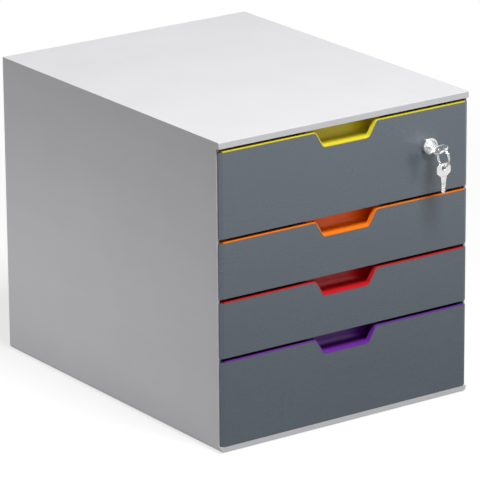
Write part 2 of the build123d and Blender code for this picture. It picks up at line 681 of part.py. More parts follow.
with BuildPart() as cam_screw:
    with BuildSketch(upright(SQUARE_END_Y + WASHER)):
        with Locations((LOCK_X, LOCK_Z)):
            Circle(SCREW_HEAD_RADIUS)
    extrude(amount=-SCREW_HEAD)
    chamfer(cam_screw.edges().group_by(Axis.Y)[-1], SCREW_HEAD_CHAMFER)
    with BuildSketch(upright(SQUARE_END_Y + WASHER)):
        with Locations((LOCK_X, LOCK_Z)):
            Circle(SCREW_RADIUS)
    extrude(amount=SCREW_LENGTH)
    # cross slot in the head
    with BuildSketch(upright(SQUARE_END_Y + WASHER + SCREW_HEAD)):
        with Locations((LOCK_X, LOCK_Z)):
            Rectangle(SCREW_SLOT_LENGTH, SCREW_SLOT)
            Rectangle(SCREW_SLOT, SCREW_SLOT_LENGTH)
    extrude(amount=SCREW_SLOT_DEPTH, mode=Mode.SUBTRACT)
place(cam_screw.part, "cam_screw")


# ================================================================ keys
def key_outline():
    """A key seen flat: y runs from the blade's tip to the bow, with y = 0 at the plug's face."""
    half = BOW_WIDTH / 2
    bow_end = NECK_LENGTH + BOW_LENGTH
    right_side = (
        (BLADE_POINT / 2, -BLADE_LENGTH),
        (BLADE_WIDTH / 2, -BLADE_LENGTH + BLADE_TAPER),
        (BLADE_WIDTH / 2, KEY_FIT),
        (NECK_WIDTH / 2, NECK_LENGTH),
        (half, NECK_LENGTH + BOW_SHOULDER),
        (half, bow_end - BOW_SHOULDER),
        (BOW_TOP / 2, bow_end),
    )
    left_side = [(-x, y) for x, y in reversed(right_side)]
    with BuildSketch() as key_shape:
        with BuildLine():
            Polyline(*right_side, *left_side, close=True)
        make_face()
        bow_corners = key_shape.vertices().filter_by_position(Axis.Y, NECK_LENGTH, bow_end)
        fillet(bow_corners, BOW_ROUND)
        with Locations((0, EYE_Y)):
            Circle(EYE_RADIUS, mode=Mode.SUBTRACT)
        # bitting: a vee under each wafer
        for k, depth in enumerate(CUT_DEPTHS):
            cut_y = -(FIRST_WAFER + WAFER / 2 + k * WAFER_PITCH)
            with BuildLine():
                Polyline(
                    (BLADE_WIDTH / 2 - depth, cut_y - WAFER / 4),
                    (BLADE_WIDTH / 2 - depth, cut_y + WAFER / 4),
                    (BLADE_WIDTH / 2 + KEY_FIT, cut_y + WAFER_PITCH / 2),
                    (BLADE_WIDTH / 2 + KEY_FIT, cut_y - WAFER_PITCH / 2),
                    close=True,
                )
            make_face(mode=Mode.SUBTRACT)
    return key_shape.sketch


lean = radians(LOCK_ROLL)
in_lock = Plane(
    origin=(LOCK_X, FACE_Y, LOCK_Z), x_dir=(cos(lean), 0, sin(lean)), z_dir=(sin(lean), 0, -cos(lean))
)
with BuildPart() as key:
    with BuildSketch(in_lock):
        add(key_outline())
    extrude(amount=KEY_THICKNESS / 2, both=True)
place(key.part, "key")

# The spare key hangs by its eye from the split ring, its blade down.
hanging = Plane(origin=(SPARE_X, STRIP_Y, SPARE_EYE_Z - EYE_Y), x_dir=(1, 0, 0), z_dir=(0, -1, 0))
with BuildPart() as spare_key:
    with BuildSketch(hanging):
        add(key_outline())
    extrude(amount=KEY_THICKNESS / 2, both=True)
place(spare_key.part, "spare_key")

# ================================================================ split ring
# Round wire in half turns, alternately over the top and under the bottom, each a step further in x.
HALF_TURN_RADIUS = sqrt(RING_RADIUS**2 + (RING_PITCH / 4) ** 2)
with BuildPart() as key_ring:
    with BuildLine() as wire:
        for k in range(2 * RING_TURNS):
            back_or_front = 1 if k % 2 == 0 else -1
            x_start = LOCK_X + (k / 2 - RING_TURNS / 2) * RING_PITCH
            ThreePointArc(
                (x_start, STRIP_Y + back_or_front * RING_RADIUS, RING_Z),
                (x_start + RING_PITCH / 4, STRIP_Y, RING_Z + back_or_front * HALF_TURN_RADIUS),
                (x_start + RING_PITCH / 2, STRIP_Y - back_or_front * RING_RADIUS, RING_Z),
            )
    with BuildSketch(Plane(origin=wire.line @ 0, z_dir=wire.line % 0)):
        Circle(WIRE_RADIUS)
    sweep()
place(key_ring.part, "key_ring")
print(f"split ring: {RING_PITCH - 2 * WIRE_RADIUS:.2f} mm between its turns")
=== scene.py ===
"""Looks of a desktop file drawer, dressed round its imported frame.

Metres, in the frame's own axes: X to the right, Y to the back, Z up, with the origin under the middle of
the casing. The mouldings and the lock's inner pieces keep the frame's meshes, get their finishes, and most
get their edges broken. The lock's body and trim ring, the keys, the split ring and the feet are surfaces of
their own, worked out with numpy.
"""
import logging
import math
from dataclasses import dataclass
from enum import Enum

import bmesh
import bpy
import numpy as np
from mathutils import Matrix, Vector


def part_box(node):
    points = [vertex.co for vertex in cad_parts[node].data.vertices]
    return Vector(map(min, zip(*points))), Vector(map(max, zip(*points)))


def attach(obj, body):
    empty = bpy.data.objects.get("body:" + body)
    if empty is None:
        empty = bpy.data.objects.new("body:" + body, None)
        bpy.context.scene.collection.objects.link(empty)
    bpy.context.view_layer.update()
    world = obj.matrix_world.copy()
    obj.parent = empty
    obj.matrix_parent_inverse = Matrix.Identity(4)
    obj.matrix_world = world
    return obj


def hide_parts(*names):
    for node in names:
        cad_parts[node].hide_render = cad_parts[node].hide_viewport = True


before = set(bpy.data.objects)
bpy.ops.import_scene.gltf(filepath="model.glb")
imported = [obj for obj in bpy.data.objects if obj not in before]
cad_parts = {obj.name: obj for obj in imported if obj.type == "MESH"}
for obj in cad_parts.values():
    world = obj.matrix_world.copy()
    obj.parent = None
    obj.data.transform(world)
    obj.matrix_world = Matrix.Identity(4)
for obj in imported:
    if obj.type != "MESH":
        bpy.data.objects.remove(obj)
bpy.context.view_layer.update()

MM = 0.001
SAME_POINT = 1e-7  # metres within which two points of a grid's seam or pole are one
log = logging.getLogger("file_drawer")

Colour = tuple[float, float, float]


# ------------------------------------------------------------------ shader expressions
class Value:
    """A shader socket that takes part in Python arithmetic, each operator adding its Math node."""

    def __init__(self, tree: "Shader", socket: bpy.types.NodeSocket) -> None:
        """Keeps the tree that the socket is in, and the socket."""
        self.tree = tree
        self.socket = socket

    def math(self, operation: str, *others: "Value | float") -> "Value":
        """Adds a Math node.

        Args:
            operation: The node's operation, such as "ADD".
            others: What follows this value in the operation.
        Returns:
            The node's result.
        """
        inputs = dict(enumerate((self, *others)))
        return self.tree.node("ShaderNodeMath", {"operation": operation}, inputs)

    def __add__(self, other: "Value | float") -> "Value":
        """This value plus another."""
        return self.math("ADD", other)

    __radd__ = __add__

    def __sub__(self, other: "Value | float") -> "Value":
        """This value less another."""
        return self.math("SUBTRACT", other)

    def __rsub__(self, other: float) -> "Value":
        """A number less this value."""
        return (self * -1.0).math("ADD", other)

    def __mul__(self, other: "Value | float") -> "Value":
        """This value times another."""
        return self.math("MULTIPLY", other)

    __rmul__ = __mul__

    def __truediv__(self, other: "Value | float") -> "Value":
        """This value over another."""
        return self.math("DIVIDE", other)

    def step(self, low: float, high: float) -> "Value":
        """Rises smoothly from 0 to 1 while this value goes from low to high.

        Args:
            low: The value below which the result is 0.
            high: The value above which the result is 1.
        Returns:
            The smoothed share.
        """
        settings = {"interpolation_type": "SMOOTHSTEP"}
        inputs = {"Value": self, "From Min": low, "From Max": high}
        return self.tree.node("ShaderNodeMapRange", settings, inputs)


class Shader:
    """A node tree, made new, whose nodes all come from one method."""

    def __init__(self, tree: bpy.types.NodeTree) -> None:
        """Empties a tree and keeps it."""
        self.tree = tree
        tree.nodes.clear()

    def node(self, kind: str, settings: dict, inputs: dict, out: int | str = 0) -> Value:
        """Adds a node.

        Args:
            kind: The node's type, such as "ShaderNodeTexNoise".
            settings: The node's own properties, set before its sockets.
            inputs: Values, links or plain sequences for its input sockets, by name or number.
            out: The output socket that the result stands for.
        Returns:
            That output.
        """
        made = self.tree.nodes.new(kind)
        for name, value in settings.items():
            setattr(made, name, value)
        for key, value in inputs.items():
            socket = made.inputs[key]
            if isinstance(value, Value):
                self.tree.links.new(value.socket, socket)
            else:
                socket.default_value = value
        return Value(self, made.outputs[out])

    def place(self) -> Value:
        """Object coordinates, in metres in the frame."""
        return self.node("ShaderNodeTexCoord", {}, {}, "Object")

    def mapped(self, centre: Colour = (0, 0, 0), scale: Colour = (1, 1, 1)) -> Value:
        """Object coordinates about a centre, stretched along the axes.

        Args:
            centre: The point that becomes the middle of the pattern.
            scale: How many times finer the pattern is along each axis.
        Returns:
            The coordinates.
        """
        shift = tuple(-c * s for c, s in zip(centre, scale))
        inputs = {"Vector": self.place(), "Location": shift, "Scale": scale}
        return self.node("ShaderNodeMapping", {}, inputs)

    def noise(self, where: Value, size: float, detail: float = 2.0, roughness: float = 0.5) -> Value:
        """Soft noise from 0 to 1, whose lumps are about size metres across."""
        inputs = {"Vector": where, "Scale": 1 / size, "Detail": detail, "Roughness": roughness}
        return self.node("ShaderNodeTexNoise", {}, inputs, "Fac")

    def blend(self, share: "Value | float", first: "Value | Colour", second: "Value | Colour") -> Value:
        """Mixes two colours.

        Args:
            share: How much of the second colour there is, from 0 to 1.
            first: The colour at share 0.
            second: The colour at share 1.
        Returns:
            The mixed colour.
        """
        ends = [c if isinstance(c, Value) else (*c, 1.0) for c in (first, second)]
        settings = {"data_type": "RGBA", "clamp_factor": True}
        return self.node("ShaderNodeMix", settings, {0: share, 6: ends[0], 7: ends[1]}, 2)

    def bump(self, height: Value, depth: float, strength: float = 1.0) -> Value:
        """A normal tilted by a height map whose full range is depth metres."""
        return self.node("ShaderNodeBump", {}, {"Strength": strength, "Distance": depth, "Height": height})

    def surface(self, inputs: dict) -> None:
        """Ends the tree in a Principled surface with these inputs."""
        shader = self.node("ShaderNodeBsdfPrincipled", {}, inputs)
        self.node_output("ShaderNodeOutputMaterial", shader)

    def node_output(self, kind: str, shader: Value) -> None:
        """Links a shader to an output node of this kind."""
        out = self.tree.nodes.new(kind)
        self.tree.links.new(shader.socket, out.inputs["Surface"])


# ------------------------------------------------------------------ finishes
@dataclass(frozen=True)
class Finish:
    """A named surface finish."""

    name: str
    colour: Colour

    def material(self) -> bpy.types.Material:
        """The finish's material, made once and then shared."""
        known = bpy.data.materials.get("finish_" + self.name)
        if known:
            return known
        made = bpy.data.materials.new("finish_" + self.name)
        made.use_nodes = True
        made.diffuse_color = (*self.colour, 1.0)
        self.paint(Shader(made.node_tree))
        return made

    def paint(self, shader: Shader) -> None:
        """Builds the nodes."""
        raise NotImplementedError

    def dress(self, piece: bpy.types.Object) -> None:
        """Gives the finish to every material slot of a piece."""
        if not piece.material_slots:
            piece.data.materials.append(self.material())
        for slot in piece.material_slots:
            slot.material = self.material()


@dataclass(frozen=True)
class MouldedPlastic(Finish):
    """Injection-moulded plastic with the fine spark-eroded grain of its mould.

    Attributes:
        shade: The colour of the slightly darker clouds in the plastic.
        roughness: Mean roughness.
        gloss: Specular level; 0.5 is a plain plastic's.
        grain: Size of the mould's grain, in metres.
        grain_depth: Depth of the grain, in metres.
        cloud: Size of the clouds, in metres.
        rubbed: How much smoother the places are where hands and sleeves have polished the grain.
    """

    shade: Colour = (0.0, 0.0, 0.0)
    roughness: float = 0.4
    gloss: float = 0.5
    grain: float = 0.6 * MM
    grain_depth: float = 0.006 * MM
    cloud: float = 40 * MM
    rubbed: float = 0.06

    def paint(self, shader: Shader) -> None:
        """Builds the nodes: clouds and flow lines in the colour, grain in the normal, rubs in the gloss."""
        where = shader.place()
        grain = shader.noise(where, self.grain, 3.0, 0.6)
        cells = {"Vector": where, "Scale": 0.6 / self.grain}
        pits = shader.node("ShaderNodeTexVoronoi", {"feature": "SMOOTH_F1"}, cells, "Distance")
        clouds = shader.noise(where, self.cloud, 3.0)
        flow = shader.noise(shader.mapped(scale=(1.0, 0.06, 1.0)), 0.3 * self.cloud, 2.0)
        broad = shader.noise(where, 6 * self.cloud, 1.0)
        rub = shader.noise(shader.mapped(scale=(0.5, 1.0, 1.6)), 1.5 * self.cloud, 4.0, 0.65).step(0.5, 0.72)
        tint = clouds * 0.45 + flow * 0.25 + broad * 0.3
        speckle = (grain - 0.5) * 0.12
        base = shader.blend((tint + speckle).step(0.25, 0.75), self.colour, self.shade)
        roughness = clouds * 0.05 + grain * 0.08 - rub * self.rubbed + (self.roughness - 0.065)
        height = grain * 0.6 + pits * 0.4
        normal = shader.bump(height, self.grain_depth)
        shader.surface(
            {"Base Color": base, "Roughness": roughness, "Specular IOR Level": self.gloss, "Normal": normal}
        )


class Lay(Enum):
    """Which way the fine marks on a metal piece run."""

    TURNED = "rings about the lock's axis"
    ALONG_Y = "lines front to back"
    UPRIGHT = "lines up and down"
    CAST = "no lines"


@dataclass(frozen=True)
class PlatedMetal(Finish):
    """Bright plated metal with fine marks from turning, stamping or drawing.

    Attributes:
        shade: The colour of the duller clouds in the plating.
        roughness: Mean roughness.
        lay: Which way the marks run.
        centre: A point on the axis that turned marks go round.
        mark: Width of the marks, in metres.
        mark_depth: Depth of the marks, in metres.
    """

    shade: Colour = (0.5, 0.5, 0.5)
    roughness: float = 0.2
    lay: Lay = Lay.CAST
    centre: Colour = (0.0, 0.0, 0.0)
    mark: float = 0.12 * MM
    mark_depth: float = 0.002 * MM

    def marks(self, shader: Shader) -> Value:
        """The marks' height, from 0 to 1, laid as the finish says."""
        if self.lay is Lay.TURNED:
            across = shader.mapped(self.centre, (1.0, 0.0, 1.0))
            radius = shader.node("ShaderNodeVectorMath", {"operation": "LENGTH"}, {0: across}, "Value")
            rings = {"W": radius, "Scale": 1 / self.mark, "Detail": 2.0}
            return shader.node("ShaderNodeTexNoise", {"noise_dimensions": "1D"}, rings, "Fac")
        stretch = {
            Lay.ALONG_Y: (1.0, 0.04, 1.0),
            Lay.UPRIGHT: (1.0, 1.0, 0.04),
            Lay.CAST: (0.3, 0.3, 0.3),
        }[self.lay]
        return shader.noise(shader.mapped(scale=stretch), self.mark, 3.0, 0.6)

    def paint(self, shader: Shader) -> None:
        """Builds the nodes: marks in gloss and normal, dull clouds, and a few stray scratches."""
        marks = self.marks(shader)
        clouds = shader.noise(shader.place(), 20 * self.mark, 3.0)
        stray = shader.noise(shader.mapped(scale=(0.2, 1.0, 0.7)), 2 * self.mark, 5.0, 0.7)
        scratches = stray.step(0.66, 0.7)
        base = shader.blend(clouds.step(0.35, 0.75), self.colour, self.shade)
        roughness = clouds * 0.1 + marks * 0.12 + scratches * 0.12 + (self.roughness - 0.11)
        normal = shader.bump(marks * 0.8 - scratches * 0.5, self.mark_depth)
        shader.surface({"Base Color": base, "Metallic": 1.0, "Roughness": roughness, "Normal": normal})


@dataclass(frozen=True)
class Rubber(Finish):
    """Moulded rubber with a dry bloom and dust on its skin."""

    bloom: Colour = (0.1, 0.1, 0.1)

    def paint(self, shader: Shader) -> None:
        """Builds the nodes: a pale bloom in clouds over dark rubber, and a fine matt skin."""
        where = shader.place()
        skin = shader.noise(where, 0.25 * MM, 4.0, 0.7)
        clouds = shader.noise(where, 4 * MM, 3.0)
        base = shader.blend((clouds * 0.7 + skin * 0.3).step(0.45, 0.75), self.colour, self.bloom)
        normal = shader.bump(skin, 0.02 * MM)
        shader.surface({"Base Color": base, "Roughness": 0.72 + clouds * 0.15, "Normal": normal})


class Tray(Enum):
    """The colours of the trays, from the top drawer down."""

    YELLOW = ((0.76, 0.66, 0.035), (0.70, 0.60, 0.028))
    ORANGE = ((0.92, 0.22, 0.008), (0.85, 0.19, 0.006))
    RED = ((0.54, 0.012, 0.018), (0.48, 0.009, 0.014))
    PURPLE = ((0.16, 0.025, 0.34), (0.13, 0.02, 0.28))

    def finish(self) -> MouldedPlastic:
        """The tray's plastic, glossier than the casing's."""
        colour, shade = self.value
        return MouldedPlastic(
            "tray_" + self.name.lower(), colour, shade, roughness=0.34, grain_depth=0.003 * MM, cloud=30 * MM
        )


CASING_GREY = MouldedPlastic(
    "casing_grey",
    (0.58, 0.577, 0.595),
    (0.55, 0.547, 0.565),
    roughness=0.40,
    grain_depth=0.005 * MM,
    cloud=60 * MM,
)
FRONT_GREY = MouldedPlastic(
    "front_grey",
    (0.085, 0.110, 0.136),
    (0.077, 0.100, 0.123),
    roughness=0.28,
    gloss=1.0,
    cloud=50 * MM,
    rubbed=0.02,
)
FOOT_RUBBER = Rubber("foot_rubber", (0.018, 0.018, 0.02), (0.07, 0.07, 0.072))
STAMPED_NICKEL = PlatedMetal(
    "stamped_nickel", (0.90, 0.90, 0.885), (0.80, 0.80, 0.785), 0.24, Lay.ALONG_Y, mark=0.1 * MM
)
HANGING_NICKEL = PlatedMetal(
    "hanging_nickel", (0.90, 0.90, 0.885), (0.80, 0.80, 0.785), 0.24, Lay.UPRIGHT, mark=0.1 * MM
)
DRAWN_WIRE = PlatedMetal("drawn_wire", (0.88, 0.88, 0.88), (0.76, 0.76, 0.77), 0.16, mark=0.08 * MM)
ZINC_PLATE = PlatedMetal("zinc_plate", (0.70, 0.72, 0.74), (0.62, 0.60, 0.52), 0.30, mark=0.3 * MM)
WAFER_BRASS = PlatedMetal("wafer_brass", (0.80, 0.58, 0.22), (0.62, 0.42, 0.16), 0.32, Lay.UPRIGHT)


# ------------------------------------------------------------------ surfaces on a grid
@dataclass
class Patch:
    """A surface given at the crossings of a grid, whose last column meets its first.

    Attributes:
        points: An array of shape (rows, columns, 3), in metres.
        ring_rows: Whether the last row meets the first.
    """

    points: np.ndarray
    ring_rows: bool = False

    def faces(self) -> np.ndarray:
        """The grid's quads, each cell's four corners in turn.

        Returns:
            An array of shape (count, 4) of vertex numbers.
        """
        rows, columns = self.points.shape[:2]
        number = np.arange(rows * columns).reshape(rows, columns)
        down = np.roll(number, -1, axis=0)
        across = np.roll(number, -1, axis=1)
        both = np.roll(down, -1, axis=1)
        cells = np.stack((number, down, both, across), axis=-1)
        cells = cells if self.ring_rows else cells[:-1]
        return cells.reshape(-1, 4)


def mesh_piece(name: str, patches: list[Patch], smooth_to: float = 34.0) -> bpy.types.Object:
    """Puts patches into one closed mesh, with its poles merged and its faces pointing outwards.

    Args:
        name: The piece's name.
        patches: The surfaces that it is made of.
        smooth_to: The angle in degrees up to which neighbouring faces shade as one.
    Returns:
        The piece, linked to the scene.
    """
    points = np.concatenate([p.points.reshape(-1, 3) for p in patches])
    starts = np.cumsum([0] + [p.points.shape[0] * p.points.shape[1] for p in patches[:-1]])
    quads = np.concatenate([p.faces() + start for p, start in zip(patches, starts)])
    mesh = bpy.data.meshes.new(name)
    mesh.vertices.add(len(points))
    mesh.vertices.foreach_set("co", points.astype(np.float32).ravel())
    mesh.loops.add(quads.size)
    mesh.loops.foreach_set("vertex_index", quads.astype(np.int32).ravel())
    mesh.polygons.add(len(quads))
    mesh.polygons.foreach_set("loop_start", np.arange(0, quads.size, 4, dtype=np.int32))
    mesh.update(calc_edges=True)
    work = bmesh.new()
    work.from_mesh(mesh)
    bmesh.ops.remove_doubles(work, verts=work.verts, dist=SAME_POINT)
    bmesh.ops.recalc_face_normals(work, faces=work.faces)
    work.to_mesh(mesh)
    work.free()
    mesh.polygons.foreach_set("use_smooth", np.ones(len(mesh.polygons), dtype=bool))
    mesh.set_sharp_from_angle(angle=math.radians(smooth_to))
    piece = bpy.data.objects.new(name, mesh)
    bpy.context.scene.collection.objects.link(piece)
    return piece


def arc(centre: tuple[float, float], radius: float, start: float, end: float, count: int = 8) -> np.ndarray:
    """Points of an arc in a plane: the centre plus radius times (cosine, sine) of evenly spaced angles.

    Args:
        centre: The arc's centre.
        radius: Its radius.
        start: Its first angle, in degrees.
        end: Its last angle, in degrees.
        count: How many points there are.
    Returns:
        An array of shape (count, 2).
    """
    turn = np.radians(np.linspace(start, end, count))
    return np.asarray(centre) + radius * np.stack((np.cos(turn), np.sin(turn)), axis=-1)


def turned(profile: np.ndarray, steps: int) -> tuple[np.ndarray, np.ndarray, np.ndarray]:
    """Carries a profile of (along, radius) once round its axis.

    The point at row i and angle u is (radius_i cos u, radius_i sin u, along_i).

    Args:
        profile: An array of shape (rows, 2).
        steps: How many angles there are.
    Returns:
        Three arrays of shape (rows, steps): the two across the axis, and the one along it.
    """
    turn = np.linspace(0, 2 * np.pi, steps, endpoint=False)
    radius = profile[:, 1:2]
    along = np.broadcast_to(profile[:, 0:1], (len(profile), steps))
    return radius * np.cos(turn), radius * np.sin(turn), along


# ------------------------------------------------------------------ mouldings from the frame
@dataclass
class Mouldings:
    """The frame's own rigid pieces, whose sharp edges are broken a little, as a mould or tool leaves them.

    Attributes:
        body: The body that the pieces belong to.
        finishes: Each piece's node and its finish.
        edge: How wide the broken edges are; 0 leaves them sharp.
        weld: How close the corners of loose triangles lie that are merged.
        sharp_from: The angle in degrees from which an edge is broken.
    """

    body: str
    finishes: dict[str, Finish]
    edge: float = 0.25 * MM
    weld: float = 0.002 * MM
    sharp_from: float = 40.0

    def break_edges(self, piece: bpy.types.Object) -> None:
        """Merges the mesh's loose triangles, rounds its sharp edges and evens its shading."""
        weld = piece.modifiers.new("weld", "WELD")
        weld.merge_threshold = self.weld
        bevel = piece.modifiers.new("broken_edges", "BEVEL")
        bevel.width = self.edge
        bevel.segments = 2
        bevel.limit_method = "ANGLE"
        bevel.angle_limit = math.radians(self.sharp_from)
        bevel.miter_outer = "MITER_ARC"
        bevel.use_clamp_overlap = True
        even = piece.modifiers.new("even_shading", "WEIGHTED_NORMAL")
        even.keep_sharp = True

    def build(self) -> None:
        """Dresses each piece and reports it."""
        for node, finish in self.finishes.items():
            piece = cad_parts[node]
            finish.dress(piece)
            if self.edge:
                self.break_edges(piece)
            log.info("%s on %s: %s", node, self.body, finish.name)


# ------------------------------------------------------------------ lock
@dataclass
class Lock:
    """The cam lock: a turned collar on a threaded, flatted barrel, with a trim ring on the plug's face."""

    collar_radius: float = 8 * MM
    collar_proud: float = 4.5 * MM
    collar_round: float = 1.9 * MM
    barrel_radius: float = 6 * MM
    barrel_flat: float = 5.2 * MM
    head_bore: float = 5.25 * MM
    head_depth: float = 3.35 * MM
    bore: float = 4.5 * MM
    groove_radius: float = 5.8 * MM
    groove: float = 0.18 * MM
    thread_pitch: float = 1.0 * MM
    thread_depth: float = 0.35 * MM
    rows_per_turn: int = 6
    lip: float = 0.2 * MM
    trim_inner: float = 3.0 * MM
    trim_outer: float = 4.85 * MM
    trim_proud: float = 0.18 * MM
    steps: int = 112

    def __post_init__(self) -> None:
        """Reads the lock's place from the frame."""
        low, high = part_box("lock_housing")
        self.centre = ((low.x + high.x) / 2, low.y, (low.z + high.z) / 2)
        self.length = high.y - low.y
        self.finish = PlatedMetal(
            "turned_chrome", (0.82, 0.82, 0.83), (0.74, 0.74, 0.75), 0.15, Lay.TURNED, self.centre, 0.14 * MM
        )

    def placed(self, across: np.ndarray, up: np.ndarray, along: np.ndarray) -> np.ndarray:
        """Stacks coordinates about the lock's axis into points of the frame."""
        x, y, z = self.centre
        return np.stack((x + across, y + along, z + up), axis=-1)

    def body(self) -> bpy.types.Object:
        """The collar and barrel as one closed surface.

        The closed profile goes up the bores, over the face with its groove, round the collar's edge and back
        along the barrel. On the barrel the radius is lessened by thread_depth times a triangle wave of
        (along / pitch - angle / full turn), and the distance across is clipped at the flats.

        Returns:
            The piece.
        """
        face = self.collar_radius - self.collar_round
        inner = np.array(
            [
                (self.length, self.bore),
                (self.head_depth, self.bore),
                (self.head_depth, self.head_bore),
                (self.lip, self.head_bore),
                (0.0, self.head_bore + self.lip),
            ]
        )
        groove = np.stack(
            (
                self.groove * np.sin(np.linspace(0, np.pi, 7)),
                np.linspace(self.groove_radius - self.groove, self.groove_radius + self.groove, 7),
            ),
            axis=-1,
        )
        rounded = arc((self.collar_round, face), self.collar_round, 180, 90, 9)
        back = np.array(
            [
                (self.collar_proud - self.lip, self.collar_radius),
                (self.collar_proud, self.collar_radius - self.lip),
            ]
        )
        start = self.collar_proud + self.lip
        turns = (self.length - self.lip - start) / self.thread_pitch
        places = np.linspace(start, self.length - self.lip, int(turns * self.rows_per_turn))
        thread = np.stack((places, np.full_like(places, self.barrel_radius)), axis=-1)
        root = np.array([(self.collar_proud, self.barrel_radius - self.thread_depth)])
        end = np.array([(self.length, self.barrel_radius - self.thread_depth - self.lip)])
        profile = np.concatenate((inner, groove, rounded, back, root, thread, end))
        across, up, along = turned(profile, self.steps)
        turn = np.linspace(0, 1, self.steps, endpoint=False)
        phase = (along / self.thread_pitch - turn) % 1.0
        is_thread = np.zeros(len(profile), dtype=bool)
        is_thread[-len(thread) - 1 : -1] = True
        cut = 1 - self.thread_depth / self.barrel_radius * np.abs(2 * phase - 1) * is_thread[:, None]
        across, up = across * cut, up * cut
        on_barrel = (along >= self.collar_proud) & (np.hypot(across, up) < self.barrel_radius + self.lip)
        across = np.where(on_barrel, np.clip(across, -self.barrel_flat, self.barrel_flat), across)
        piece = mesh_piece("lock_body", [Patch(self.placed(across, up, along), ring_rows=True)])
        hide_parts("lock_housing")
        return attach(piece, "drawer_1")

    def trim_ring(self) -> bpy.types.Object:
        """A thin pressed ring on the plug's face, a closed profile turned about the lock's axis."""
        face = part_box("lock_plug")[0].y - self.centre[1]
        inner, outer, proud = self.trim_inner, self.trim_outer, self.trim_proud
        crest, seat, corner = face - proud, face + proud, proud / 2
        profile = np.concatenate(
            (
                [(seat, inner)],
                arc((face - corner, inner + corner), corner, 270, 180, 4),
                [(crest, inner + 2 * proud), (face, (inner + outer) / 2), (crest, outer - 2 * proud)],
                arc((face - corner, outer - corner), corner, 180, 90, 4),
                [(seat, outer)],
            )
        )
        points = self.placed(*turned(profile, self.steps))
        piece = mesh_piece("plug_trim_ring", [Patch(points, ring_rows=True)])
        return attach(piece, "lock")

    def build(self) -> None:
        """Builds, dresses and reports the lock's pieces."""
        for piece in (self.body(), self.trim_ring()):
            self.finish.dress(piece)
            log.info("%s: %d faces", piece.name, len(piece.data.polygons))
        self.finish.dress(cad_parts["lock_plug"])


